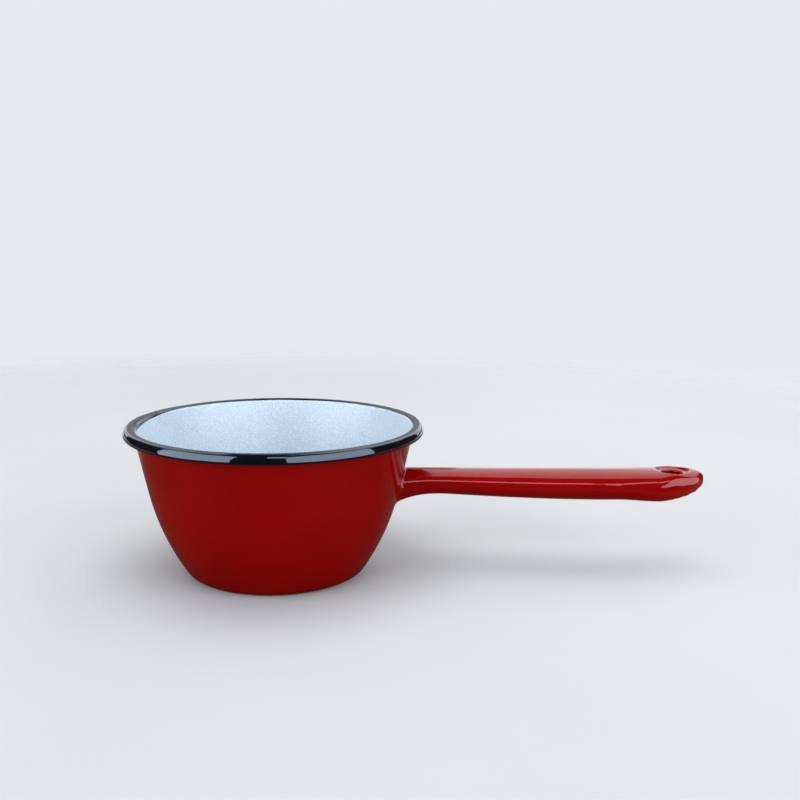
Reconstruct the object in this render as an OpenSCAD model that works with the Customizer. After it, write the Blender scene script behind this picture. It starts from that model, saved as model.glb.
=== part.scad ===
// Enamelled steel saucepan with a rolled rim and a hollow steel handle.
// The pan stands on the XY plane with its axis on Z, and the handle points along +X.
// Lengths are in millimetres.

/* [Pan] */
// Diameter over the rolled rim
rim_d = 160; // [130:1:220]
// Height from the table to the top of the rim
pan_h = 81.4; // [72:0.1:120]
// Slope of the straight upper wall, measured from level
wall_angle = 77.5; // [73:0.5:85]
// Height at which the straight upper wall begins
belly_h = 46.5; // [36:0.5:56]
// Radius of the curved lower wall
belly_r = 130; // [115:1:200]
// Radius of the corner between the wall and the base
heel_r = 7; // [4:0.5:12]
// Width of the ring that the pan stands on
foot_w = 8; // [4:0.5:14]
// Height that the middle of the base is pressed up by
base_lift = 0.8; // [0.4:0.1:2]
// Width of the sloping step between the foot ring and the middle of the base
lift_w = 3; // [1.5:0.5:6]

/* [Rolled rim] */
// Height of the roll, from its underside to its top
bead_d = 5.3; // [4.2:0.1:8]
// Width of the level stretch on top of the roll
bead_flat = 0.83; // [0.4:0.01:3]
// Slope at which the roll's top bend gives way to its flatter outer face
face_turn = 27; // [10:1:45]
// Radius inside the steel at the roll's lower corner
corner_in_r = 0.1; // [0.05:0.05:0.6]
// Angle round the roll at which the white lining gives way to the black rim
lining_turn = 142; // [110:1:160]
// Angle round the roll at which the edge of the steel ends
curl_turn = 225; // [222:1:255]

/* [Steel and enamel] */
// Thickness of the pressed steel
steel_t = 0.8; // [0.5:0.05:1.2]
// Thickness of the steel tube
tube_t = 0.9; // [0.6:0.05:1.5]
// Thickness of each coat of enamel
enamel_t = 0.3; // [0.15:0.05:0.5]
// Radius of the weld round the root of the handle
weld_r = 1.5; // [0.8:0.1:2.5]

/* [Handle] */
// Length from the wall of the pan to the tip
handle_len = 164.5; // [140:0.5:220]
// Drop from the top of the rim to the top of the handle's neck
handle_drop = 24.8; // [16:0.1:34]
// Height that the top edge gains from the wall to the tip
handle_rise = 1; // [0:0.1:8]
// Distance from the wall to the neck, along which the root flares
flare_len = 24; // [14:1:40]
// Depth that the flare adds under the root
flare_drop = 5.6; // [2:0.1:10]
// Width that the flare adds to the root
flare_w = 3; // [0:0.1:8]
// Width of the neck
neck_w = 19; // [14:0.5:24]
// Height of the neck
neck_h = 13.9; // [10:0.1:18]
// Distance from the wall at which the grip has its full size
grip_reach = 113; // [70:1:116]
// Width of the grip
grip_w = 23; // [18:0.5:30]
// Height of the grip
grip_h = 16.8; // [13:0.1:22]
// Distance from the wall at which the swell before the nose begins
swell_from = 118; // [100:1:128]
// Width that the swell adds
swell_w = 2; // [0:0.1:5]
// Height that the swell adds
swell_h = 0.5; // [0:0.1:3]
// Length of the rounded nose
nose_len = 24.5; // [18:0.5:30]
// Drop from the top edge to the tip of the nose
tip_drop = 6.6; // [4:0.1:9]

/* [Hanging hole] */
// Diameter of the hanging hole
hole_d = 11; // [6:0.5:12]
// Distance from the tip to the middle of the hole
hole_inset = 16.8; // [15:0.1:22]
// Depth of the dish pressed in round the hole
dish_depth = 1.8; // [1.6:0.1:2.6]
// Radius of the curved ends of the dish
dish_r = 2.5; // [1:0.5:5]
// Width of the flat seat round the lined hole
seat_w = 0.7; // [0.3:0.1:1.2]
// Height that the metal beside the dish stands above the top edge
dish_lip = 1.4; // [0:0.1:2]
// Distance from the hole's middle within which that metal stands proud
dish_lip_run = 10; // [6:0.5:16]
// Softness of the long edges of the dish
dish_blend = 0.8; // [0.3:0.1:1.2]
// Depth that the enamel lip of the hole reaches past the steel
lip_h = 0.4; // [0.2:0.1:1]

/* [Hidden] */

// Facets of a full turn, and steps along the arcs of the profiles
turn_steps = 180;
roll_steps = 6;
heel_steps = 8;
belly_steps = 16;

// Points round a section of the handle, and rings along each stretch of it
round_steps = 32;
weld_steps = 4;
flare_steps = 6;
grip_steps = 6;
swell_steps = 5;
dish_steps = 3;
nose_steps = 20;

// How squarely the nose closes on top, underneath and at its sides
nose_top_power = 4.6;
nose_under_power = 1.6;
nose_side_power = 2.3;
// How square the section is at the neck and at the swell, where 2 is an ellipse
neck_power = 2;
swell_power = 2.6;
// How quickly the flare of the root dies out
flare_power = 3;

// Length that a cut runs past what it cuts
over = 1;

// Depths of the layers, measured in from the outer face of the wall
skin = 0;
steel_out = enamel_t;
steel_in = enamel_t + steel_t;
wall_t = enamel_t + steel_t + enamel_t;

// Radii of the roll: over the enamel, over the steel and inside the steel
bead_r = bead_d / 2;
curl_out_r = bead_r - enamel_t;
curl_in_r = curl_out_r - steel_t;
// The outer face of the roll is a flatter arc between its top bend and its lower corner
corner_r = corner_in_r + steel_t + enamel_t;
corner_c = [rim_d / 2 - corner_r, pan_h - bead_d + corner_r];
face_r = (bead_r * (1 + sin(face_turn)) - corner_r) / sin(face_turn);
face_c = [rim_d / 2 - face_r, corner_c[1]];
// Centres of the outer and inner bends of the roll
roll_out = [face_c[0] + (face_r - bead_r) * cos(face_turn), pan_h - bead_r];
roll_in = roll_out - [bead_flat, 0];
// The turn at which the straight wall runs into the roll
wall_turn = wall_angle + 90;

// The lower wall is an arc that meets the straight wall and the heel without a corner
belly_c = [
    wall_line_r(belly_h, skin) - belly_r * sin(wall_angle),
    belly_h + belly_r * cos(wall_angle)
];
heel_turn = acos((belly_c[1] - heel_r) / (belly_r - heel_r));
foot_r = belly_c[0] + (belly_r - heel_r) * sin(heel_turn);
heel_c = [foot_r, heel_r];
foot_in_r = foot_r - foot_w;

// Places along the handle, measured from the wall
handle_top = pan_h - handle_drop;
weld_end = enamel_t + weld_r;
nose_from = handle_len - nose_len;
hole_r = hole_d / 2;
hole_at = handle_len - hole_inset;
seat_r = hole_r + enamel_t + seat_w;
dish_from = hole_at - seat_r - sqrt(2 * dish_r * dish_depth);
// Height of the tip, of the seat round the hole, and of the neck's middle
tip_z = top_edge(nose_from) - tip_drop;
seat_z = top_edge(hole_at) - dish_depth;
neck_z = top_edge(flare_len) - neck_h / 2;
// Radius of the steel wall where the handle's middle line meets it
root_x = wall_r(neck_z, steel_out);

// Profile of the pan

function arc(c, r, from, to, n) =
    [for (i = [0:n]) let (a = from + (to - from) * i / n) c + r * [cos(a), sin(a)]];

function rest_of(list) = [for (i = [1:len(list) - 1]) list[i]];

function reversed(list) = [for (i = [len(list) - 1:-1:0]) list[i]];

// Distance of a layer of the straight wall from the centre of the inner bend
function wall_gap(depth) = bead_r - wall_t + depth;

function wall_line_r(z, depth) =
    let (foot = roll_in + wall_gap(depth) * [cos(wall_turn), sin(wall_turn)])
    foot[0] - (foot[1] - z) / tan(wall_angle);

// Radius of a layer of the wall at a height above the heel
function wall_r(z, depth) =
    z > belly_c[1] - (belly_r - depth) * cos(wall_angle)
        ? wall_line_r(z, depth)
        : belly_c[0] + sqrt(pow(belly_r - depth, 2) - pow(belly_c[1] - z, 2));

// Turn at which a circle round the inner bend meets a layer of the wall below the roll
function meet_turn(r, depth) = wall_turn + acos(wall_gap(depth) / r);

function base_line(depth) = [
    [0, base_lift + depth],
    [foot_in_r - lift_w, base_lift + depth],
    [foot_in_r, depth]
];

function wall_line(depth) = concat(
    arc(heel_c, heel_r - depth, -90, heel_turn - 90, heel_steps),
    rest_of(arc(belly_c, belly_r - depth, heel_turn - 90, wall_angle - 90, belly_steps))
);

// The roll, from the wall over its top and down to the steel's edge, in two stretches
function roll_inside(r) = arc(roll_in, r, wall_turn, lining_turn, roll_steps);

function roll_over(r) = concat(
    arc(roll_in, r, lining_turn, 90, roll_steps),
    arc(roll_out, r, 90, face_turn, roll_steps),
    rest_of(arc(face_c, r + face_r - bead_r, face_turn, 0, roll_steps)),
    rest_of(arc(corner_c, r + corner_r - bead_r, 0, -90, roll_steps))
);

function roll_under(r, to) = arc(roll_in, r, 270, to, roll_steps);

module revolve(points) {
    rotate_extrude($fn = turn_steps) polygon(points);
}

// Sections of the handle

function smooth(u) = let (v = min(max(u, 0), 1)) v * v * (3 - 2 * v);

function ease(u) = sin(90 * min(max(u, 0), 1));

function closing(u, power) = pow(max(1 - pow(u, power), 0), 1 / power);

function soft_min(a, b, k) = min(a, b) - pow(max(k - abs(a - b), 0), 2) / (4 * k);

function top_edge(s) = handle_top + handle_rise * pow(s / handle_len, 2);

function flare(s) = pow(1 - min(max(s, 0) / flare_len, 1), flare_power);

function grown(s) = ease((s - flare_len) / (grip_reach - flare_len));

function swollen(s) = smooth((s - swell_from) / (nose_from - swell_from));

function section_w(s) =
    neck_w + (grip_w - neck_w) * grown(s) + swell_w * swollen(s) + flare_w * flare(s);

function section_h(s) =
    neck_h + (grip_h - neck_h) * grown(s) + swell_h * swollen(s) + flare_drop * flare(s);

// A cosine or sine drawn out towards a square corner
function squared(c, power) = sign(c) * pow(abs(c), 2 / power);

// Growth of the section where the weld curves out to the wall
function weld_growth(s) =
    let (v = min(max((s - enamel_t) / weld_r, 0), 1))
    weld_r * (1 - sqrt(1 - pow(1 - v, 2)));

// Rise of the metal beside the dish
function beside_dish(s) = dish_lip * smooth(1 - abs(s - hole_at) / dish_lip_run);

// Height of the dish's floor at a place along the handle
function dish_z(s, depth) =
    seat_z - depth + pow(max(abs(s - hole_at) - seat_r, 0), 2) / (2 * dish_r);

// Distance out from the axis, along X, of the face of the steel wall
function wall_x(y, z) = sqrt(pow(wall_r(z, steel_out), 2) - y * y);

// One ring of points round a layer of the handle, a distance s from the wall. The section
// starts to change clear of the wall's coat, which fits round it there.
function ring(s, depth, growth) =
    let (
        u = max((s - nose_from) / (nose_len - depth), 0),
        clear = max(s, enamel_t),
        edge = top_edge(clear),
        under = edge - section_h(clear) + depth,
        crown = edge + beside_dish(clear) - depth,
        top = tip_z + (crown - tip_z) * closing(u, nose_top_power),
        bottom = tip_z + (under - tip_z) * closing(u, nose_under_power),
        half_w = (section_w(clear) / 2 - depth) * closing(u, nose_side_power) + growth,
        half_h = (top - bottom) / 2 + growth,
        power = neck_power + (swell_power - neck_power) * swollen(s),
        away = smooth(s / flare_len)
    )
    [for (i = [0:round_steps - 1])
        let (
            turn = 360 * i / round_steps,
            y = half_w * squared(cos(turn), power),
            z_round = (top + bottom) / 2 + half_h * squared(sin(turn), power),
            z = i < round_steps / 2 ? soft_min(z_round, dish_z(s, depth), dish_blend) : z_round
        )
        [s + wall_x(y, z) * (1 - away) + root_x * away, y, z]
    ];

function span(from, to, n) = [for (i = [1:n]) from + (to - from) * i / n];

// Places of the rings: through the weld, then to the start of the nose
weld_places = concat(
    [0, enamel_t],
    [for (i = [1:weld_steps]) enamel_t + weld_r * (1 - cos(90 * i / weld_steps))]
);
shaft_places = concat(
    span(weld_end, flare_len, flare_steps),
    span(flare_len, swell_from, grip_steps),
    span(swell_from, dish_from, swell_steps),
    span(dish_from, nose_from, dish_steps)
);

function nose_places(depth) =
    [for (i = [1:nose_steps - 1]) nose_from + (nose_len - depth) * sin(90 * i / nose_steps)];

function welded_rings(depth) = [for (s = weld_places) ring(s, depth, weld_growth(s))];

function plain_rings(depth) = [for (s = weld_places) ring(s, depth, 0)];

function long_rings(depth) =
    [for (s = concat(shaft_places, nose_places(depth))) ring(s, depth, 0)];

function tip(depth) = [root_x + handle_len - depth, 0, tip_z];

function flat_list(lists) = [for (list = lists) each list];

// Faces that join each ring to the next one
function bands(count, closed) = [
    for (k = [0:count - (closed ? 1 : 2)], i = [0:round_steps - 1])
        let (
            a = k * round_steps,
            b = (k + 1) % count * round_steps,
            j = (i + 1) % round_steps
        )
        each [[a + i, b + j, b + i], [a + i, a + j, b + j]]
];

function fan(first, centre, flip) = [
    for (i = [0:round_steps - 1])
        let (a = first + i, b = first + (i + 1) % round_steps)
        flip ? [centre, a, b] : [centre, b, a]
];

// A closed skin over a chain of rings that ends in a point at each side
module capped_skin(rings, start, end) {
    count = len(rings) * round_steps;
    polyhedron(
        concat(flat_list(rings), [start, end]),
        concat(
            fan(0, count, false),
            bands(len(rings), false),
            fan(count - round_steps, count + 1, true)
        )
    );
}

// A closed skin over a chain of rings that comes back to its start
module looped_skin(rings) {
    polyhedron(flat_list(rings), bands(len(rings), true));
}

// A hollow handle between two layers, closed at the nose and open at the wall
module hollow(outer_rings, outer_tip, inner_rings, inner_tip) {
    capped_skin(concat(reversed(outer_rings), inner_rings), outer_tip, inner_tip);
}

module at_hole() {
    translate([root_x + hole_at, 0, 0]) children();
}

module hole_cut(r) {
    at_hole() translate([0, 0, seat_z - grip_h - swell_h - over])
        cylinder(h = grip_h + swell_h + dish_depth + 2 * over, r = r, $fn = turn_steps);
}

// The outline of the root where it meets the wall, drawn out through the wall's coat
module root_cut() {
    outline = [for (p = ring(0, skin, weld_growth(0))) [p[1], p[2]]];
    rotate([90, 0, 90]) linear_extrude(rim_d / 2) polygon(outline);
}

// The pieces

// Deep-drawn steel pressing, with its edge rolled outwards into the rim
module steel_bowl() {
    color("slategray") revolve(concat(
        base_line(steel_in),
        wall_line(steel_in),
        roll_inside(curl_out_r),
        rest_of(roll_over(curl_out_r)),
        roll_under(curl_out_r, curl_turn),
        reversed(roll_under(curl_in_r, curl_turn)),
        reversed(roll_over(curl_in_r)),
        rest_of(reversed(roll_inside(curl_in_r))),
        reversed(wall_line(steel_out)),
        reversed(base_line(steel_out))
    ));
}

// White enamel over the whole inside, up to the roll
module white_lining() {
    color("aliceblue") revolve(concat(
        base_line(wall_t),
        wall_line(wall_t),
        roll_inside(bead_r),
        reversed(roll_inside(curl_out_r)),
        reversed(wall_line(steel_in)),
        reversed(base_line(steel_in))
    ));
}

// Black enamel round the roll, closing the gap between the steel's edge and the wall
module black_rim() {
    color("black") revolve(concat(
        roll_over(bead_r),
        roll_under(bead_r, meet_turn(bead_r, skin)),
        rest_of(arc(roll_in, bead_r, meet_turn(bead_r, skin), meet_turn(bead_r, steel_out), 1)),
        arc(roll_in, curl_out_r, meet_turn(curl_out_r, steel_out), curl_turn, 1),
        rest_of(reversed(roll_under(curl_out_r, curl_turn))),
        reversed(roll_over(curl_out_r))
    ));
}

// Red enamel over the outside of the wall, open where the handle is welded on
module red_coat() {
    color("darkred") difference() {
        revolve(concat(
            wall_line(skin),
            arc(roll_in, bead_r, meet_turn(bead_r, skin), meet_turn(bead_r, steel_out), 1),
            reversed(wall_line(steel_out))
        ));
        root_cut();
    }
}

// Dark enamel under the base, flat on the foot ring
module base_coat() {
    color("dimgray") revolve(concat(
        base_line(skin),
        [[foot_r, 0], [foot_r, enamel_t]],
        reversed(base_line(steel_out))
    ));
}

// Hollow steel handle, closed at the nose, with the hanging hole through it
module handle_tube() {
    bare = steel_out + tube_t;
    color("slategray") difference() {
        hollow(
            concat(plain_rings(steel_out), long_rings(steel_out)), tip(steel_out),
            concat(plain_rings(bare), long_rings(bare)), tip(bare)
        );
        hole_cut(hole_r + enamel_t);
    }
}

// Weld round the root, between the tube and the wall
module handle_weld() {
    color("gray") looped_skin(concat(
        reversed(welded_rings(steel_out)),
        [for (i = [0:len(weld_places) - 2]) plain_rings(steel_out)[i]]
    ));
}

// Red enamel over the tube and the weld, with a lip that lines the hole
module handle_coat() {
    lining_h = enamel_t / 2 + tube_t + lip_h;
    color("darkred") difference() {
        union() {
            hollow(
                concat(welded_rings(skin), long_rings(skin)), tip(skin),
                concat(welded_rings(steel_out), long_rings(steel_out)), tip(steel_out)
            );
            at_hole() translate([0, 0, seat_z - enamel_t / 2 - lining_h])
                cylinder(h = lining_h, r = hole_r + enamel_t, $fn = turn_steps);
        }
        hole_cut(hole_r);
    }
}

steel_bowl();
white_lining();
red_coat();
black_rim();
base_coat();
handle_tube();
handle_weld();
handle_coat();
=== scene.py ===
import math

import bmesh
import bpy
from mathutils import Euler, Matrix, Vector, noise


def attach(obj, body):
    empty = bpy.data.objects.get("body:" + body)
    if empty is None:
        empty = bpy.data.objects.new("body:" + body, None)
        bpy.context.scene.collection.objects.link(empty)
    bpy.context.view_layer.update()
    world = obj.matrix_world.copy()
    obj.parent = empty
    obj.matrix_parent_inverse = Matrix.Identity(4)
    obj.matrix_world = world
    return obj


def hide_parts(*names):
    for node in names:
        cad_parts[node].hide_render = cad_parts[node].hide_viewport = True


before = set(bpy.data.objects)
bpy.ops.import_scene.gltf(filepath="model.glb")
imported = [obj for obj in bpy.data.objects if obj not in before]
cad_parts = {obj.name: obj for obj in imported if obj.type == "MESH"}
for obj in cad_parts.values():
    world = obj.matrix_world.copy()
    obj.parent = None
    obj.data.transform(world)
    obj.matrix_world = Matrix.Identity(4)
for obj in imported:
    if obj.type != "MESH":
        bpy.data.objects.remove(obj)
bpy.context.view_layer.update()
print("frame loaded")

mm = 0.001

# Sizes are in millimetres and turns in degrees, and meshes are made in metres. Waves, dents and folds are a
# height and a length. They fade in from a start, or out up to an end, over the length given with it.
pan = {
    "rimWidth": 160,
    "height": 81.4,
    "wallAngle": 77.5,
    "bellyHeight": 46.5,
    "bellyRadius": 130,
    "heelRadius": 7,
    "footWidth": 8,
    "baseLift": 0.8,
    "liftWidth": 3,
    "enamel": 0.3,
    "steel": 0.8,
    "middleShares": (0, 0.3, 0.6, 0.85),
    "liftSteps": 6,
    "heelSteps": 12,
    "bellySteps": 24,
    "wallSteps": 14,
    "turnSteps": 180,
}
roll = {
    "height": 5.3,
    "flat": 0.83,
    "faceTurn": 27,
    "topBend": 1.8,
    "cornerInside": 0.1,
    "steps": 10,
}
making = {
    "mergeGap": 1e-7,
    "sharpTurn": 38,
}

wallTurn = pan["wallAngle"] + 90
wallThickness = pan["steel"] + 2 * pan["enamel"]
# The roll has a round top bend, a flatter outer face and a tight lower corner.
rollRadius = roll["height"] / 2
cornerRadius = roll["cornerInside"] + pan["steel"] + pan["enamel"]
corner = Vector((pan["rimWidth"] / 2 - cornerRadius, pan["height"] - roll["height"] + cornerRadius))
faceSlope = math.radians(roll["faceTurn"])


def outerFace(topRadius):
    # radius and centre of the outer face, and the centre of the top bend that runs into it
    radius = (roll["height"] - topRadius - cornerRadius) / math.sin(faceSlope) + topRadius
    centre = Vector((pan["rimWidth"] / 2 - radius, corner.y))
    bend = Vector((centre.x + (radius - topRadius) * math.cos(faceSlope), pan["height"] - topRadius))
    return radius, centre, bend


faceRadius, face, topBend = outerFace(roll["topBend"])
# the centre of the inner bend, whose radius is half the roll's height, with a flat top between both bends
rollIn = outerFace(rollRadius)[2] - Vector((roll["flat"], 0))


def polar(centre, radius, turn):
    return Vector(centre) + radius * Vector((math.cos(math.radians(turn)), math.sin(math.radians(turn))))


def arc(centre, radius, start, end, steps):
    return [polar(centre, radius, start + (end - start) * i / steps) for i in range(steps + 1)]


def spread(start, end, steps):
    return [start + (end - start) * i / steps for i in range(steps + 1)]


def smooth(u):
    v = min(max(u, 0), 1)
    return v * v * (3 - 2 * v)


def fadeIn(value, start, length):
    return smooth((value - start) / length)


def fadeOut(value, end, length):
    return smooth((end - value) / length)


# The straight wall runs into the inner bend of the roll, and the belly is an arc that meets it.
# Depths go from the outer surface into the wall.
def wallGap(depth):
    # how far a layer of the wall passes from the centre of the inner bend
    return rollRadius - wallThickness + depth


def wallLineRadius(z, depth):
    foot = polar(rollIn, wallGap(depth), wallTurn)
    return foot.x - (foot.y - z) / math.tan(math.radians(pan["wallAngle"]))


bellySlope = math.radians(pan["wallAngle"])
bellyCentre = Vector((
    wallLineRadius(pan["bellyHeight"], 0) - pan["bellyRadius"] * math.sin(bellySlope),
    pan["bellyHeight"] + pan["bellyRadius"] * math.cos(bellySlope),
))
heelTurn = math.degrees(math.acos(
    (bellyCentre.y - pan["heelRadius"]) / (pan["bellyRadius"] - pan["heelRadius"])
))
footRadius = bellyCentre.x + (pan["bellyRadius"] - pan["heelRadius"]) * math.sin(math.radians(heelTurn))
footInside = footRadius - pan["footWidth"]


def wallRadius(z, depth):
    arcRadius = pan["bellyRadius"] - depth
    if z > bellyCentre.y - arcRadius * math.cos(bellySlope):
        return wallLineRadius(z, depth)
    return bellyCentre.x + math.sqrt(arcRadius ** 2 - (bellyCentre.y - z) ** 2)


def meetTurn(radius, depth):
    # where a circle round the centre of the inner bend meets a layer of the wall
    return wallTurn + math.degrees(math.acos(wallGap(depth) / radius))


# Outlines of a layer of the pan, from the middle of the base to the roll
def baseLine(depth):
    edge = footInside - pan["liftWidth"]
    middle = [Vector((edge * t, depth + pan["baseLift"])) for t in pan["middleShares"]]
    step = [
        Vector((edge + pan["liftWidth"] * t, depth + pan["baseLift"] * (1 - smooth(t))))
        for t in spread(0, 1, pan["liftSteps"])
    ]
    return middle + step


def wallLine(depth):
    heelCentre = (footRadius, pan["heelRadius"])
    heel = arc(heelCentre, pan["heelRadius"] - depth, -90, heelTurn - 90, pan["heelSteps"])
    bellyRadius = pan["bellyRadius"] - depth
    belly = arc(bellyCentre, bellyRadius, heelTurn - 90, pan["wallAngle"] - 90, pan["bellySteps"])
    end = polar(rollIn, wallGap(depth), wallTurn)
    straight = [belly[-1].lerp(end, t) for t in spread(0, 1, pan["wallSteps"])]
    return heel + belly[1:] + straight[1:]


# Materials
def newMaterial(name):
    material = bpy.data.materials.new(name)
    material.use_nodes = True
    tree = material.node_tree
    return material, tree, tree.nodes["Principled BSDF"]


def link(tree, source, target):
    tree.links.new(source, target)


def objectPoint(tree, scale=(1, 1, 1), shift=(0, 0, 0)):
    place = tree.nodes.new("ShaderNodeTexCoord")
    mapping = tree.nodes.new("ShaderNodeMapping")
    mapping.inputs["Scale"].default_value = scale
    mapping.inputs["Location"].default_value = shift
    link(tree, place.outputs["Object"], mapping.inputs["Vector"])
    return mapping.outputs["Vector"]


def noiseOf(tree, point, scale, detail, rough=0.5, distortion=0):
    texture = tree.nodes.new("ShaderNodeTexNoise")
    texture.inputs["Scale"].default_value = scale
    texture.inputs["Detail"].default_value = detail
    texture.inputs["Roughness"].default_value = rough
    texture.inputs["Distortion"].default_value = distortion
    link(tree, point, texture.inputs["Vector"])
    return texture.outputs["Fac"]


def rangeOf(tree, value, low, high, start=0, end=1):
    mapped = tree.nodes.new("ShaderNodeMapRange")
    mapped.clamp = True
    mapped.inputs["From Min"].default_value = low
    mapped.inputs["From Max"].default_value = high
    mapped.inputs["To Min"].default_value = start
    mapped.inputs["To Max"].default_value = end
    link(tree, value, mapped.inputs["Value"])
    return mapped.outputs["Result"]


def patchesOf(tree, point, kind, low, high, start=0, end=1):
    return rangeOf(tree, noiseOf(tree, point, *kind), low, high, start, end)


def mixedColor(tree, share, first, second):
    mix = tree.nodes.new("ShaderNodeMix")
    mix.data_type = "RGBA"
    link(tree, share, mix.inputs["Factor"])
    for value, slot in ((first, mix.inputs["A"]), (second, mix.inputs["B"])):
        if isinstance(value, tuple):
            slot.default_value = (*value, 1)
        else:
            link(tree, value, slot)
    return mix.outputs["Result"]


def bumped(tree, shader, point, bumps):
    normal = None
    for kind, height in bumps:
        bump = tree.nodes.new("ShaderNodeBump")
        bump.inputs["Strength"].default_value = 1
        bump.inputs["Distance"].default_value = height
        link(tree, noiseOf(tree, point, *kind), bump.inputs["Height"])
        if normal is not None:
            link(tree, normal, bump.inputs["Normal"])
        normal = bump.outputs["Normal"]
    link(tree, normal, shader.inputs["Normal"])


def newFinish(name, finish):
    # what all finishes have: roughness in patches, and layers of unevenness
    material, tree, shader = newMaterial(name)
    point = objectPoint(tree)
    link(tree, patchesOf(tree, point, *finish["rough"]), shader.inputs["Roughness"])
    bumped(tree, shader, point, finish["bumps"])
    return material, tree, shader, point


# Patches are a noise (its scale and detail, and where given its roughness and distortion), the range of the
# noise they fade over and what they fade between, and a bump is a noise and its height in metres.
redFinish = {
    "color": (0.225, 0.0007, 0.0005),
    "deep": (0.198, 0.0004, 0.0003),
    "clouds": ((38, 3), 0.3, 0.7),
    "tint": (1, 0.89, 0.91),
    "ior": 1.5,
    "rough": ((120, 4), 0.3, 0.7, 0.03, 0.06),
    "bumps": (((85, 1), 0.00003), ((330, 2), 0.000004)),
}


def redEnamel():
    material, tree, shader, point = newFinish("redEnamel", redFinish)
    clouds = patchesOf(tree, point, *redFinish["clouds"])
    color = mixedColor(tree, clouds, redFinish["deep"], redFinish["color"])
    link(tree, color, shader.inputs["Base Color"])
    shader.inputs["IOR"].default_value = redFinish["ior"]
    shader.inputs["Specular Tint"].default_value = (*redFinish["tint"], 1)
    return material


liningFinish = {
    "color": (0.435, 0.505, 0.57),
    "pale": (0.455, 0.525, 0.59),
    "clouds": ((60, 4), 0.35, 0.65),
    "dark": (0.27, 0.335, 0.41),
    "darkFlecks": ((1900, 2), 0.50, 0.60, 0, 0.40),
    "light": (0.71, 0.76, 0.80),
    "lightFlecks": ((1500, 2), 0.53, 0.63, 0, 0.65),
    "lightShift": (3, 1, 2),
    "ior": 1.5,
    "rough": ((140, 3), 0.3, 0.7, 0.26, 0.36),
    "bumps": (((90, 1), 0.000012), ((420, 3), 0.000006)),
}


def liningEnamel():
    material, tree, shader, point = newFinish("liningEnamel", liningFinish)
    clouds = patchesOf(tree, point, *liningFinish["clouds"])
    ground = mixedColor(tree, clouds, liningFinish["color"], liningFinish["pale"])
    darkFlecks = patchesOf(tree, point, *liningFinish["darkFlecks"])
    flecked = mixedColor(tree, darkFlecks, ground, liningFinish["dark"])
    # moved, so that the light flecks don't follow the dark ones
    moved = objectPoint(tree, shift=liningFinish["lightShift"])
    lightFlecks = patchesOf(tree, moved, *liningFinish["lightFlecks"])
    color = mixedColor(tree, lightFlecks, flecked, liningFinish["light"])
    link(tree, color, shader.inputs["Base Color"])
    shader.inputs["IOR"].default_value = liningFinish["ior"]
    return material


blackFinish = {
    "color": (0.0012, 0.0018, 0.0035),
    "worn": (0.0035, 0.0045, 0.008),
    "clouds": ((90, 4), 0.35, 0.65),
    "tint": (0.72, 0.86, 1),
    "ior": 1.7,
    "rough": ((180, 4), 0.3, 0.7, 0.03, 0.07),
    "bumps": (((160, 1), 0.00004), ((500, 2), 0.000004)),
}


def blackEnamel():
    material, tree, shader, point = newFinish("blackEnamel", blackFinish)
    clouds = patchesOf(tree, point, *blackFinish["clouds"])
    color = mixedColor(tree, clouds, blackFinish["color"], blackFinish["worn"])
    link(tree, color, shader.inputs["Base Color"])
    shader.inputs["IOR"].default_value = blackFinish["ior"]
    shader.inputs["Specular Tint"].default_value = (*blackFinish["tint"], 1)
    return material


groundFinish = {
    "color": (0.018, 0.021, 0.027),
    "speck": (0.12, 0.13, 0.15),
    "specks": ((900, 2), 0.66, 0.74, 0, 0.8),
    "scuff": (0.10, 0.105, 0.11),
    "scuffs": ((5, 3, 0.7, 0.6), 0.62, 0.72, 0, 0.55),
    "scuffStretch": (14, 260, 1),
    "ior": 1.5,
    "rough": ((130, 4), 0.3, 0.7, 0.16, 0.34),
    "bumps": (((260, 3), 0.00002),),
}


def groundEnamel():
    material, tree, shader, point = newFinish("groundEnamel", groundFinish)
    specks = patchesOf(tree, point, *groundFinish["specks"])
    specked = mixedColor(tree, specks, groundFinish["color"], groundFinish["speck"])
    stretched = objectPoint(tree, scale=groundFinish["scuffStretch"])
    scuffs = patchesOf(tree, stretched, *groundFinish["scuffs"])
    color = mixedColor(tree, scuffs, specked, groundFinish["scuff"])
    link(tree, color, shader.inputs["Base Color"])
    shader.inputs["IOR"].default_value = groundFinish["ior"]
    return material


steelFinish = {
    "color": (0.20, 0.20, 0.21),
    "scale": (0.055, 0.058, 0.066),
    "clouds": ((150, 5), 0.35, 0.62),
    "metallic": 0.9,
    "rough": ((300, 4), 0.3, 0.7, 0.34, 0.62),
    "bumps": (((900, 3), 0.00001),),
}


def bareSteel():
    material, tree, shader, point = newFinish("bareSteel", steelFinish)
    clouds = patchesOf(tree, point, *steelFinish["clouds"])
    color = mixedColor(tree, clouds, steelFinish["scale"], steelFinish["color"])
    link(tree, color, shader.inputs["Base Color"])
    shader.inputs["Metallic"].default_value = steelFinish["metallic"]
    return material


red = redEnamel()
print("materials ready")


# Pieces
def spun(points, closed=True):
    bm = bmesh.new()
    verts = [bm.verts.new((p[0] * mm, 0, p[1] * mm)) for p in points]
    edges = [bm.edges.new(pair) for pair in zip(verts, verts[1:])]
    if closed:
        edges.append(bm.edges.new((verts[-1], verts[0])))
    bmesh.ops.spin(
        bm, geom=verts + edges, cent=(0, 0, 0), axis=(0, 0, 1),
        angle=2 * math.pi, steps=pan["turnSteps"], use_merge=True, use_duplicate=False,
    )
    bmesh.ops.remove_doubles(bm, verts=bm.verts, dist=making["mergeGap"])
    bmesh.ops.recalc_face_normals(bm, faces=bm.faces)
    return bm


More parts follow.
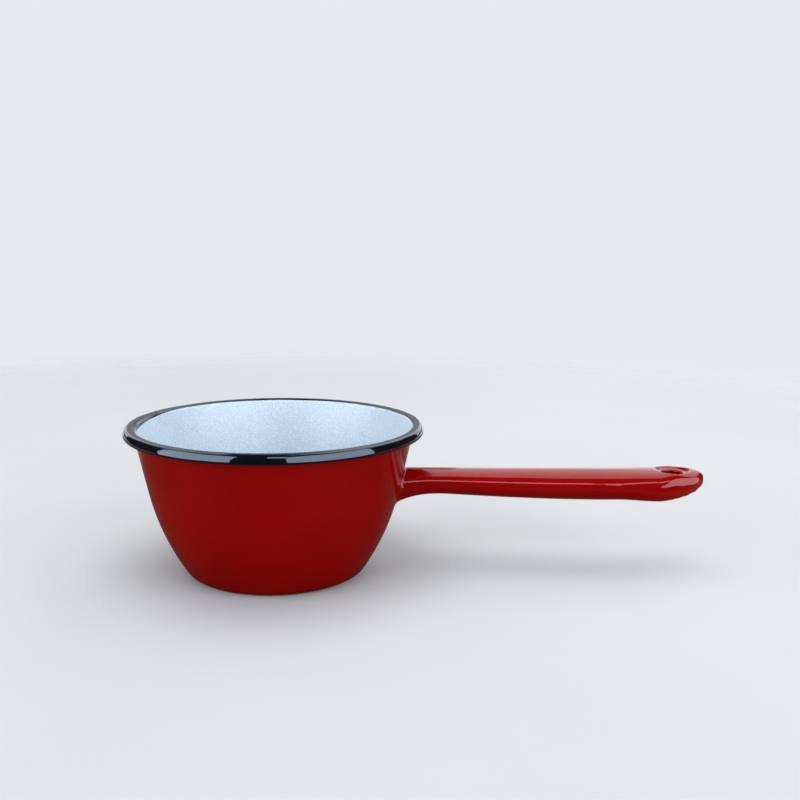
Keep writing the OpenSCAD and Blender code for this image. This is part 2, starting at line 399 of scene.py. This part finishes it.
def uneven(bm, height, length, share):
    # waves of a fired coat: every point moves along its normal by a smooth noise
    bm.normal_update()
    moves = []
    for v in bm.verts:
        wave = noise.noise(v.co / (length * mm))
        moves.append(v.normal * wave * height * mm * share(v.co))
    for v, move in zip(bm.verts, moves):
        v.co += move


def finished(name, bm, material, node):
    mesh = bpy.data.meshes.new(name)
    bm.to_mesh(mesh)
    bm.free()
    mesh.shade_smooth()
    mesh.set_sharp_from_angle(angle=math.radians(making["sharpTurn"]))
    mesh.materials.append(material)
    piece = bpy.data.objects.new(name, mesh)
    bpy.context.scene.collection.objects.link(piece)
    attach(piece, "root")
    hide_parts(node)
    return piece


# Stretches of the roll from its inner bend outwards and under: both centres, radius and both turns
rollStretches = [
    (rollIn + Vector((0, rollRadius)), topBend + Vector((0, roll["topBend"])), 0, 90, 90),
    (topBend, topBend, roll["topBend"], 90, roll["faceTurn"]),
    (face, face, faceRadius, roll["faceTurn"], 0),
    (corner, corner, cornerRadius, 0, -90),
    (corner, Vector((rollIn.x, corner.y)), cornerRadius, -90, -90),
    (rollIn, rollIn, rollRadius, -90, meetTurn(rollRadius, 0) - 360),
]
bendRun = rollRadius * math.radians(wallTurn - 90)


def stretchLength(first, last, radius, start, end):
    return (first - last).length + radius * math.radians(start - end)


def skinOfRoll(run, depth):
    # place on the roll, whose run goes in and down from the top of the inner bend, and is negative outwards
    if run > bendRun:
        start = polar(rollIn, rollRadius - depth, wallTurn)
        return start - (run - bendRun) * Vector((math.cos(bellySlope), math.sin(bellySlope)))
    if run >= 0:
        return polar(rollIn, rollRadius - depth, 90 + math.degrees(run / rollRadius))
    left = -run
    for stretch in rollStretches:
        length = stretchLength(*stretch)
        if left <= length:
            break
        left -= length
    first, last, radius, start, end = stretch
    t = min(left / length, 1)
    return polar(first.lerp(last, t), radius - depth, start + (end - start) * t)


# Lining: white enamel over the whole inside, up over the inner bend of the roll
lining = {
    "topRun": 0.5,
    "dip": (1.2, 0.2),  # under the black: the run where it starts, and its depth at topRun
    "waves": (0.03, 30),
    "wavesFrom": (20, 30),
    "wavesUpTo": (78, 6),
}


def makeLining():
    inner = pan["enamel"] + pan["steel"]
    rollRuns = spread(bendRun, lining["topRun"], roll["steps"])
    dipRun, dipDepth = lining["dip"]
    faceOut = baseLine(wallThickness) + wallLine(wallThickness)[1:]
    for run in rollRuns[1:]:
        dip = dipDepth * smooth((dipRun - run) / (dipRun - lining["topRun"]))
        faceOut.append(skinOfRoll(run, dip))
    faceIn = [skinOfRoll(run, pan["enamel"]) for run in reversed(rollRuns)]
    faceIn += list(reversed(wallLine(inner)))[1:] + list(reversed(baseLine(inner)))[1:]
    bm = spun(faceOut + faceIn, closed=False)

    def share(co):
        return fadeIn(co.length / mm, *lining["wavesFrom"]) * fadeOut(co.z / mm, *lining["wavesUpTo"])

    uneven(bm, *lining["waves"], share)
    finished("whiteLining", bm, liningEnamel(), "white_lining")


makeLining()
print("lining made")


# Rim: black enamel round the roll, with a hand-made edge that wanders over the white
rim = {
    "edgeRun": 2.2,
    "edgeMore": 2.9,  # how much further in the black reaches at moreTurn
    "moreTurn": 190,
    "morePower": 8,
    "edgeWaves": ((0.20, 16), (0.10, 5)),
    "edgeShares": (1, 0.99, 0.975, 0.95, 0.93, 0.88, 0.8, 0.7, 0.6, 0.5, 0.4, 0.3, 0.2, 0.1),
    "edgeRoundShare": 0.07,
    "proud": 0.06,
    "proudFrom": (0.1, 1.2),
    "sunk": 0.10,
    "dents": ((0.070, 19), (0.035, 6)),
    "dentsFrom": (74.8, 2),
    "overSteps": 72,
    "backSteps": 16,
    "turnSteps": 360,
}


def edgeRunAt(turn):
    # how far in the black reaches, round the pan
    place = Vector((math.cos(turn), math.sin(turn), 0)) * pan["rimWidth"] / 2
    side = max(math.cos(turn - math.radians(rim["moreTurn"])), 0)
    run = rim["edgeRun"] + rim["edgeMore"] * side ** rim["morePower"]
    for height, length in rim["edgeWaves"]:
        run += height * noise.noise(place / length)
    return run


def rimDepth(run, share):
    # proud of the white, with a rounded edge, and a little lower over the top so that its dents fit
    edge = math.sqrt(1 - min(1, max(0, 1 - (1 - share) / rim["edgeRoundShare"])) ** 2)
    return rim["sunk"] - (rim["sunk"] + rim["proud"] * edge) * fadeIn(run, *rim["proudFrom"])


def makeRim():
    # rows from the edge on the white to the top, over the outside to the wall, and back under the skin
    endRun = -sum(stretchLength(*stretch) for stretch in rollStretches)
    rows = [(0, share, -1) for share in rim["edgeShares"]]
    rows += [(run, 0, -1) for run in spread(0, endRun, rim["overSteps"])]
    rows += [(run, 0, pan["enamel"]) for run in spread(endRun, 0, rim["backSteps"])]
    bm = bmesh.new()
    layers = [bm.verts.layers.float.new(name) for name in ("run", "share", "depth")]
    verts = []
    for k, row in enumerate(rows):
        v = bm.verts.new((pan["rimWidth"] / 2 * mm, 0, k * mm))
        for layer, value in zip(layers, row):
            v[layer] = value
        verts.append(v)
    edges = [bm.edges.new(pair) for pair in zip(verts, verts[1:])]
    bmesh.ops.spin(
        bm, geom=verts + edges, cent=(0, 0, 0), axis=(0, 0, 1),
        angle=2 * math.pi, steps=rim["turnSteps"], use_merge=True, use_duplicate=False,
    )
    for v in bm.verts:
        turn = math.atan2(v.co.y, v.co.x)
        run, share, depth = (v[layer] for layer in layers)
        if share:
            run = share * edgeRunAt(turn)
        if depth < 0:
            depth = rimDepth(run, share)
        place = skinOfRoll(run, depth)
        v.co = Vector((place.x * math.cos(turn), place.x * math.sin(turn), place.y)) * mm
    bmesh.ops.recalc_face_normals(bm, faces=bm.faces)
    for height, length in rim["dents"]:
        uneven(bm, height, length, lambda co: fadeIn(co.xy.length / mm, *rim["dentsFrom"]))
    finished("blackRim", bm, blackEnamel(), "black_rim")


makeRim()
print("rim made")


# Coat: red enamel over the outside of the wall, a little under the black at its top
coat = {
    "tuck": 0.1,
    "waves": (0.05, 30),
    "wavesFrom": (4, 14),
    "wavesUpTo": (80, 8),
}


def makeCoat():
    tucked = rollRadius - coat["tuck"]
    faceOut = wallLine(0) + [polar(rollIn, tucked, meetTurn(tucked, 0))]
    faceIn = list(reversed(wallLine(pan["enamel"])))
    bm = spun(faceOut + faceIn)

    def share(co):
        return fadeIn(co.z / mm, *coat["wavesFrom"]) * fadeOut(co.z / mm, *coat["wavesUpTo"])

    uneven(bm, *coat["waves"], share)
    finished("redCoat", bm, red, "red_coat")


makeCoat()
print("coat made")


# Base: dark enamel on the underside, out to a small bulge at the red
base = {
    "bulge": 0.05,
}


def makeBase():
    bulge = Vector((footRadius + base["bulge"], base["bulge"]))
    faceOut = baseLine(0) + [Vector((footRadius, 0)), bulge, Vector((footRadius, pan["enamel"]))]
    faceIn = list(reversed(baseLine(pan["enamel"])))
    bm = spun(faceOut + faceIn, closed=False)
    finished("baseCoat", bm, groundEnamel(), "base_coat")


makeBase()
print("base made")


# Handle: a hollow steel form under red enamel, flared at the wall and pressed down round the hanging hole
handle = {
    "length": 164.5,
    "drop": 24.8,
    "rise": 1,
    "flareLength": 24,
    "flareDrop": 5.6,
    "flareWidth": 3,
    "neckWidth": 19,
    "neckHeight": 13.9,
    "gripReach": 113,
    "gripWidth": 23,
    "gripHeight": 16.8,
    "swellFrom": 118,
    "swellWidth": 2,
    "swellHeight": 0.5,
    "noseLength": 24.5,
    "tipDrop": 6.6,
    "noseTopPower": 4.6,
    "noseUnderPower": 1.6,
    "noseSidePower": 2.3,
    "neckPower": 2,
    "swellPower": 2.6,
    "flarePower": 3,
    "weld": 1.5,
    "weldSink": 0.035,
    "around": 96,
    "weldSteps": 12,
    "flareSteps": 22,
    "gripSteps": 34,
    "swellSteps": 34,
    "noseSteps": 44,
    "noseTurn": 87,
    "waves": (0.035, 30),
    "wavesFrom": (4, 20),
    "wavesUnder": (1, 3),
    "wavesBeforeTip": 2,
    "noseWaves": (0.13, 6),
    "noseWavesOver": 12,
    "folds": (0.16, 4.2),
    "foldsFrom": (4, 6),
    "foldsUnder": 4,
    "foldsWidth": 24,
    "foldsLean": 0.25,  # how much they lean back at the sides
}
hole = {
    "width": 11,
    "inset": 16.8,
    "dishDepth": 1.8,
    "dishBend": 2.5,
    "seat": 0.7,
    "lip": 1.4,  # how far the top swells up before and past the dish
    "lipRun": 10,
    "blend": 0.8,
    "cut": 7.7,  # radius that is cut out and filled with rings
    "cutInset": 0.3,
    "brims": (0.6, 0.2),
    "round": 0.8,  # radius of the rounding at its edge
    "roundSteps": 7,
    "topDepth": 1.7,
    "underDepth": 1.1,
    "depthShares": (0.35, 0.7, 1),
}

noseFrom = handle["length"] - handle["noseLength"]
holeAt = handle["length"] - hole["inset"]
holeRadius = hole["width"] / 2
seatRadius = holeRadius + pan["enamel"] + hole["seat"]
handleTop = pan["height"] - handle["drop"]


def topEdge(s):
    return handleTop + handle["rise"] * (s / handle["length"]) ** 2


tipHeight = topEdge(noseFrom) - handle["tipDrop"]
seatHeight = topEdge(holeAt) - hole["dishDepth"]
rootX = wallRadius(topEdge(handle["flareLength"]) - handle["neckHeight"] / 2, pan["enamel"])


def closing(u, power):
    return max(1 - u ** power, 0) ** (1 / power)


def softMin(a, b, k):
    return min(a, b) - max(k - abs(a - b), 0) ** 2 / (4 * k)


def squared(c, power):
    return math.copysign(abs(c) ** (2 / power), c)


def section(s):
    # height of the top and of the underside, half the width, and how square the section is
    flare = (1 - min(max(s, 0) / handle["flareLength"], 1)) ** handle["flarePower"]
    along = min(max((s - handle["flareLength"]) / (handle["gripReach"] - handle["flareLength"]), 0), 1)
    grown = math.sin(math.pi / 2 * along)
    swollen = smooth((s - handle["swellFrom"]) / (noseFrom - handle["swellFrom"]))
    width = handle["neckWidth"] + (handle["gripWidth"] - handle["neckWidth"]) * grown
    width += handle["swellWidth"] * swollen + handle["flareWidth"] * flare
    height = handle["neckHeight"] + (handle["gripHeight"] - handle["neckHeight"]) * grown
    height += handle["swellHeight"] * swollen + handle["flareDrop"] * flare
    u = min(max((s - noseFrom) / handle["noseLength"], 0), 1)
    crown = topEdge(s) + hole["lip"] * smooth(1 - abs(s - holeAt) / hole["lipRun"])
    top = tipHeight + (crown - tipHeight) * closing(u, handle["noseTopPower"])
    under = tipHeight + (topEdge(s) - height - tipHeight) * closing(u, handle["noseUnderPower"])
    half = width / 2 * closing(u, handle["noseSidePower"])
    power = handle["neckPower"] + (handle["swellPower"] - handle["neckPower"]) * swollen
    return top, under, half, power


def dishFloor(s, y):
    away = math.hypot(s - holeAt, y)
    return seatHeight + max(away - seatRadius, 0) ** 2 / (2 * hole["dishBend"])


def skinHeight(s, y, above):
    top, under, half, power = section(s)
    share = max(1 - abs(y / half) ** power, 0) ** (1 / power)
    middle, rise = (top + under) / 2, (top - under) / 2
    if above:
        return softMin(middle + rise * share, dishFloor(s, y), hole["blend"])
    return middle - rise * share


def skinPoint(s, turn, growth):
    # place on the handle's skin, which follows the round wall at the root and runs straight past the flare
    top, under, half, power = section(max(s, pan["enamel"]))
    y = (half + growth) * squared(math.cos(turn), power)
    z = (top + under) / 2 + ((top - under) / 2 + growth) * squared(math.sin(turn), power)
    if math.sin(turn) >= 0:
        z = softMin(z, dishFloor(s, y), hole["blend"])
    away = smooth(s / handle["flareLength"])
    wallX = math.sqrt(wallRadius(z, pan["enamel"]) ** 2 - y * y)
    return Vector((s + wallX * (1 - away) + rootX * away, y, z))


def weldGrowth(s):
    v = min(max((s + handle["weldSink"] - pan["enamel"]) / handle["weld"], 0), 1)
    return handle["weld"] * (1 - math.sqrt(1 - (1 - v) ** 2))


def handlePlaces():
    weldEnd = pan["enamel"] + handle["weld"]
    weld = [
        pan["enamel"] - handle["weldSink"] + handle["weld"] * (1 - math.cos(math.radians(a)))
        for a in spread(0, 90, handle["weldSteps"])
    ]
    flare = spread(weldEnd, handle["flareLength"], handle["flareSteps"])
    grip = spread(handle["flareLength"], handle["swellFrom"], handle["gripSteps"])
    swell = spread(handle["swellFrom"], noseFrom, handle["swellSteps"])
    nose = [
        noseFrom + handle["noseLength"] * math.sin(math.radians(a))
        for a in spread(0, handle["noseTurn"], handle["noseSteps"])
    ]
    return weld + flare[1:] + grip[1:] + swell[1:] + nose[1:]


def ringEdges(verts):
    # each edge between two points of the ring once, always in the same order
    ring = set(verts)
    around = dict.fromkeys(e for v in verts for e in v.link_edges)
    return [e for e in around if all(v in ring for v in e.verts)]


def nextRing(bm, verts):
    made = bmesh.ops.extrude_edge_only(bm, edges=ringEdges(verts))
    return [g for g in made["geom"] if isinstance(g, bmesh.types.BMVert)]


def openEdge(bm, above):
    # the points of the open edge in order round the hole, from the one nearest the tip
    beyond = (rootX + handle["swellFrom"]) * mm
    ends = [v for v in bm.verts if v.is_boundary and v.co.x > beyond]
    verts = [v for v in ends if (v.co.z > tipHeight * mm) == above]
    order = [max(verts, key=lambda v: v.co.x - abs(v.co.y))]
    while len(order) < len(verts):
        steps = [e.other_vert(order[-1]) for e in order[-1].link_edges if e.is_boundary]
        order.append(next(v for v in steps if len(order) < 2 or v is not order[-2]))
    return order if order[1].co.y > 0 else order[:1] + order[:0:-1]


def lipRings(bm, verts, above):
    # from the edge of the cut, over a rounded brim and into the hole, one ring after another
    bend = hole["round"]
    depth = hole["topDepth"] if above else hole["underDepth"]
    steps = [(hole["cut"] - hole["cutInset"], 0)]
    steps += [(holeRadius + bend + brim, 0) for brim in hole["brims"]]
    steps += [
        (holeRadius + bend * (1 - math.sin(math.radians(a))), bend * (1 - math.cos(math.radians(a))))
        for a in spread(0, 90, hole["roundSteps"])
    ]
    steps += [(holeRadius, bend + (depth - bend) * t) for t in hole["depthShares"]]
    down = -1 if above else 1
    turnLayer = bm.verts.layers.float["turn"]
    for i, v in enumerate(verts):
        v[turnLayer] = 2 * math.pi * i / len(verts)
    for k, (radius, drop) in enumerate(steps):
        if k:
            verts = nextRing(bm, verts)
        for v in verts:
            s, y = holeAt + radius * math.cos(v[turnLayer]), radius * math.sin(v[turnLayer])
            v.co = Vector((rootX + s, y, skinHeight(s, y, above) + down * drop)) * mm


def cutHole(bm, above):
    axis = Vector(((rootX + holeAt) * mm, 0))

    def inside(v):
        return (v.co.z > tipHeight * mm) == above and (v.co.xy - axis).length < hole["cut"] * mm

    doomed = [f for f in bm.faces if all(inside(v) for v in f.verts)]
    bmesh.ops.delete(bm, geom=doomed, context="FACES")
    lipRings(bm, openEdge(bm, above), above)


def freeOfDish(co):
    # none at the height of the dish or at the very tip
    under, over = handle["wavesUnder"]
    beforeTip = fadeOut(co.x / mm, rootX + handle["length"], handle["wavesBeforeTip"])
    return fadeOut(co.z / mm, seatHeight - under, over) * beforeTip


def alongHandle(co):
    return fadeIn(co.x / mm - rootX, *handle["wavesFrom"]) * freeOfDish(co)


def besideNose(co):
    return fadeIn(co.x / mm - rootX, noseFrom, handle["noseWavesOver"]) * freeOfDish(co)


def underNose(co):
    under = fadeOut(co.z / mm, tipHeight, handle["foldsUnder"])
    inwards = closing(min(abs(co.y) / mm / (handle["foldsWidth"] / 2), 1), 2)
    return fadeIn(co.x / mm - rootX - noseFrom, *handle["foldsFrom"]) * under * inwards


def handleUneven(bm):
    # a soft unevenness all along, more of it at the nose, and shallow folds where the nose was drawn in
    uneven(bm, *handle["waves"], alongHandle)
    uneven(bm, *handle["noseWaves"], besideNose)
    height, length = handle["folds"]
    bm.normal_update()
    for v in bm.verts:
        place = v.co.x / mm - rootX + handle["foldsLean"] * abs(v.co.y) / mm
        v.co += v.normal * height * mm * math.sin(2 * math.pi * place / length) * underNose(v.co)


def makeHandle():
    bm = bmesh.new()
    around = bm.verts.layers.int.new("around")
    bm.verts.layers.float.new("turn")
    verts = bmesh.ops.create_circle(bm, segments=handle["around"], radius=mm)["verts"]
    for i, v in enumerate(verts):
        v[around] = i
    for k, s in enumerate(handlePlaces()):
        if k:
            verts = nextRing(bm, verts)
        for v in verts:
            v.co = skinPoint(s, 2 * math.pi * v[around] / handle["around"], weldGrowth(s)) * mm
    tip = Vector((rootX + handle["length"], 0, tipHeight)) * mm
    verts = nextRing(bm, verts)
    bmesh.ops.pointmerge(bm, verts=verts, merge_co=tip)
    cutHole(bm, True)
    cutHole(bm, False)
    bmesh.ops.remove_doubles(bm, verts=bm.verts, dist=making["mergeGap"])
    bmesh.ops.recalc_face_normals(bm, faces=bm.faces)
    handleUneven(bm)
    piece = finished("handleCoat", bm, red, "handle_coat")
    wall = piece.modifiers.new("wall", "SOLIDIFY")
    wall.thickness = pan["enamel"] * mm
    wall.offset = -1
    wall.use_even_offset = True
    wall.use_rim = True


makeHandle()
print("handle made")

# The bowl, the tube and the weld lie under the enamel, so they keep their CAD meshes.
steel = bareSteel()
for node in ("steel_bowl", "handle_tube", "handle_weld"):
    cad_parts[node].data.materials.clear()
    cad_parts[node].data.materials.append(steel)

# Floor, light and camera, with their sizes and places in metres
studio = {
    "floorColor": (0.525, 0.52, 0.51),
    "floorShade": 0.97,
    "floorClouds": ((6, 3), 0.3, 0.7),
    "floorRough": 0.7,
    "floorGloss": 0.2,
    "bounced": (0.34, 0.25, 0.20),  # the floor in bounced light
    "mirroredShadeNear": (0.05, 0.028, 0.018),  # painted shade: the floor as the gloss sees it, dark round the pan
    "mirroredBehind": (0.24, 0.15, 0.09),  # and beyond that
    "mirroredLightFar": (0.80, 0.86, 0.95),  # and far behind, painted bright as a reflected light
    "mirroredFrom": (0.22, 0.28),
    "mirroredFront": (-0.12, -0.02),
    "mirroredUpTo": (0.44, 0.47),
    "floorRadius": 1.5,
    "openRadius": 0.0432,
    "openSteps": 96,
    "fade": (0.42, 1.0),
    "worldSeen": (0.80, 0.82, 0.845),  # the backdrop
    "worldLight": (0.03, 0.033, 0.04),  # and what it adds as light
}


def joined(tree, operation, first, second):
    node = tree.nodes.new("ShaderNodeMath")
    node.operation = operation
    link(tree, first, node.inputs[0])
    link(tree, second, node.inputs[1])
    return node.outputs["Value"]


def mixedShader(tree, share, first, second, target):
    mix = tree.nodes.new("ShaderNodeMixShader")
    link(tree, share, mix.inputs["Fac"])
    link(tree, first, mix.inputs[1])
    link(tree, second, mix.inputs[2])
    link(tree, mix.outputs["Shader"], target)


def floorPaint():
    material, tree, shader = newMaterial("floorPaint")
    point = objectPoint(tree)
    path = tree.nodes.new("ShaderNodeLightPath")
    clouds = patchesOf(tree, point, *studio["floorClouds"])
    shade = tuple(c * studio["floorShade"] for c in studio["floorColor"])
    seen = mixedColor(tree, clouds, shade, studio["floorColor"])
    seen = mixedColor(tree, path.outputs["Is Diffuse Ray"], seen, studio["bounced"])
    # painted reflection: the gloss of the enamel picks up a floor painted dark round the pan as shade,
    # warmer beyond and bright far behind, with none of it far in front
    distance = tree.nodes.new("ShaderNodeVectorMath")
    distance.operation = "LENGTH"
    link(tree, point, distance.inputs[0])
    far = rangeOf(tree, distance.outputs["Value"], *studio["mirroredFrom"])
    sides = tree.nodes.new("ShaderNodeSeparateXYZ")
    link(tree, point, sides.inputs["Vector"])
    front = rangeOf(tree, sides.outputs["Y"], *studio["mirroredFront"], 1, 0)
    # painted shade round the pan and a painted bright reflection far behind, seen only in the gloss
    ground = mixedColor(tree, far, studio["mirroredShadeNear"], studio["mirroredBehind"])
    beyond = rangeOf(tree, sides.outputs["Y"], *studio["mirroredUpTo"])
    mirrored = mixedColor(tree, beyond, ground, studio["mirroredLightFar"])
    color = mixedColor(tree, path.outputs["Is Glossy Ray"], seen, mirrored)
    link(tree, color, shader.inputs["Base Color"])
    shader.inputs["Roughness"].default_value = studio["floorRough"]
    shader.inputs["Specular IOR Level"].default_value = studio["floorGloss"]
    # it thins out with distance, so that it has no far edge, and it doesn't hide the base from below
    thin = rangeOf(tree, distance.outputs["Value"], *studio["fade"])
    thin = joined(tree, "MULTIPLY", thin, thin)
    unseen = joined(tree, "MULTIPLY", joined(tree, "MULTIPLY", far, front), path.outputs["Is Glossy Ray"])
    side = tree.nodes.new("ShaderNodeNewGeometry")
    below = joined(tree, "MULTIPLY", side.outputs["Backfacing"], path.outputs["Is Camera Ray"])
    clear = tree.nodes.new("ShaderNodeBsdfTransparent")
    share = joined(tree, "MAXIMUM", joined(tree, "MAXIMUM", thin, unseen), below)
    target = tree.nodes["Material Output"].inputs["Surface"]
    mixedShader(tree, share, shader.outputs["BSDF"], clear.outputs["BSDF"], target)
    return material


def makeFloor():
    # a sheet with a round opening under the base, which the foot ring covers
    bm = bmesh.new()
    bmesh.ops.create_circle(bm, segments=studio["openSteps"], radius=studio["openRadius"])
    made = bmesh.ops.extrude_edge_only(bm, edges=bm.edges[:])
    outer = [g for g in made["geom"] if isinstance(g, bmesh.types.BMVert)]
    grown = studio["floorRadius"] / studio["openRadius"]
    bmesh.ops.scale(bm, verts=outer, vec=(grown, grown, 1))
    bmesh.ops.recalc_face_normals(bm, faces=bm.faces)
    if bm.faces[:][0].normal.z < 0:
        bmesh.ops.reverse_faces(bm, faces=bm.faces)
    mesh = bpy.data.meshes.new("floor")
    bm.to_mesh(mesh)
    bm.free()
    mesh.materials.append(floorPaint())
    floor = bpy.data.objects.new("floor", mesh)
    bpy.context.scene.collection.objects.link(floor)


def makeWorld():
    world = bpy.data.worlds.new("studio")
    bpy.context.scene.world = world
    world.use_nodes = True
    tree = world.node_tree
    tree.nodes.clear()
    seen = tree.nodes.new("ShaderNodeBackground")
    seen.inputs["Color"].default_value = (*studio["worldSeen"], 1)
    light = tree.nodes.new("ShaderNodeBackground")
    light.inputs["Color"].default_value = (*studio["worldLight"], 1)
    path = tree.nodes.new("ShaderNodeLightPath")
    target = tree.nodes.new("ShaderNodeOutputWorld").inputs["Surface"]
    share = path.outputs["Is Camera Ray"]
    mixedShader(tree, share, light.outputs["Background"], seen.outputs["Background"], target)


# Soft lights, with their radiance as glow. Near ones reach from one corner to the other. Far ones span
# heights and turns, counted from the camera's side (-Y) towards +X. A matte one lights but isn't mirrored.
lights = {
    "ceilingRight": {
        "from": (0.12, -0.24, 1.25), "to": (1.5, 1.6, 1.25),
        "glow": 1.55, "color": (0.93, 0.96, 1),
    },
    "ceilingLeft": {
        "from": (-1.5, -0.24, 1.25), "to": (-0.38, 1.6, 1.25),
        "glow": 1.05, "color": (0.93, 0.96, 1),
    },
    "ceilingFill": {
        "from": (-0.45, -0.70, 1.25), "to": (0.45, 0.40, 1.25),
        "glow": 3.2, "color": (0.97, 0.98, 1), "matte": True,
    },
    "backRight": {
        "from": (1.3, 1.6, 0.02), "to": (0.19, 1.6, 1.22),
        "glow": 1.1, "color": (0.92, 0.96, 1),
    },
    "backMiddle": {
        "from": (0.19, 1.6, 0.02), "to": (-0.58, 1.6, 1.22),
        "glow": 0.35, "color": (0.92, 0.96, 1),
    },
    "backLeft": {
        "from": (-0.58, 1.6, 0.02), "to": (-1.6, 1.6, 1.22),
        "glow": 0.95, "color": (0.92, 0.96, 1),
    },
    "rightWindow": {
        "turn": (15, 84), "distance": 4, "rise": (-0.6, 3.43),
        "glow": 3.0, "color": (0.82, 0.91, 1),
    },
    "leftWindow": {
        "turn": (-86, -25), "distance": 4, "rise": (-0.6, 3.43),
        "glow": 3.2, "color": (0.82, 0.91, 1),
    },
    "frontStrip": {
        "turn": (1, 15), "distance": 4, "rise": (2.3, 3.31),
        "glow": 2.9, "color": (0.86, 0.93, 1),
    },
    "underBase": {
        "from": (-0.5, -0.5, -0.8), "to": (0.5, 0.5, -0.8),
        "glow": 1.4, "color": (1, 1, 1),
    },
}
lightsAim = Vector((0, 0, 0.05))
powerPerGlow = 4  # an area light's power is this much times its radiance and its area


def lightCorners(light):
    # lower and upper corner of one side, and the lower corner of the other side
    if "turn" in light:
        half = math.radians(light["turn"][1] - light["turn"][0]) / 2
        middle = math.radians(sum(light["turn"]) / 2)
        out = Vector((math.sin(middle), -math.cos(middle), 0)) * light["distance"]
        along = Vector((math.cos(middle), math.sin(middle), 0)) * light["distance"] * math.tan(half)
        low, high = (Vector((0, 0, z)) for z in light["rise"])
        return out - along + low, out - along + high, out + along + low
    first, last = Vector(light["from"]), Vector(light["to"])
    if first.z == last.z:
        return first, Vector((first.x, last.y, first.z)), Vector((last.x, first.y, first.z))
    return first, Vector((first.x, first.y, last.z)), Vector((last.x, last.y, first.z))


def makeLights():
    for name, light in lights.items():
        low, high, side = lightCorners(light)
        centre = (side + high) / 2
        data = bpy.data.lights.new(name, "AREA")
        data.shape = "RECTANGLE"
        data.size = (side - low).length
        data.size_y = (high - low).length
        data.energy = light["glow"] * powerPerGlow * data.size * data.size_y
        data.color = light["color"]
        lamp = bpy.data.objects.new(name, data)
        across, up = (side - low).normalized(), (high - low).normalized()
        away = across.cross(up)
        if away.dot(centre - lightsAim) < 0:
            across, away = -across, -away
        turned = Matrix((across, up, away)).transposed().to_4x4()
        lamp.matrix_world = Matrix.Translation(centre) @ turned
        lamp.visible_camera = False
        lamp.visible_glossy = "matte" not in light
        bpy.context.scene.collection.objects.link(lamp)


view = {
    "lens": 45,
    "sensor": 36,
    "place": (0.0672, -0.5307, 0.1860),
    "down": 9.83,
    "roll": 0.52,
}


def makeCamera():
    data = bpy.data.cameras.new("camera")
    data.lens = view["lens"]
    data.sensor_width = view["sensor"]
    camera = bpy.data.objects.new("camera", data)
    camera.location = view["place"]
    tilt = Euler((math.radians(90 - view["down"]), 0, 0)).to_matrix()
    turn = Matrix.Rotation(math.radians(view["roll"]), 3, "Z")
    camera.rotation_euler = (tilt @ turn).to_euler()
    bpy.context.scene.collection.objects.link(camera)
    bpy.context.scene.camera = camera


makeFloor()
makeWorld()
makeLights()
makeCamera()
bpy.context.scene.view_settings.view_transform = "Standard"
print("studio made")
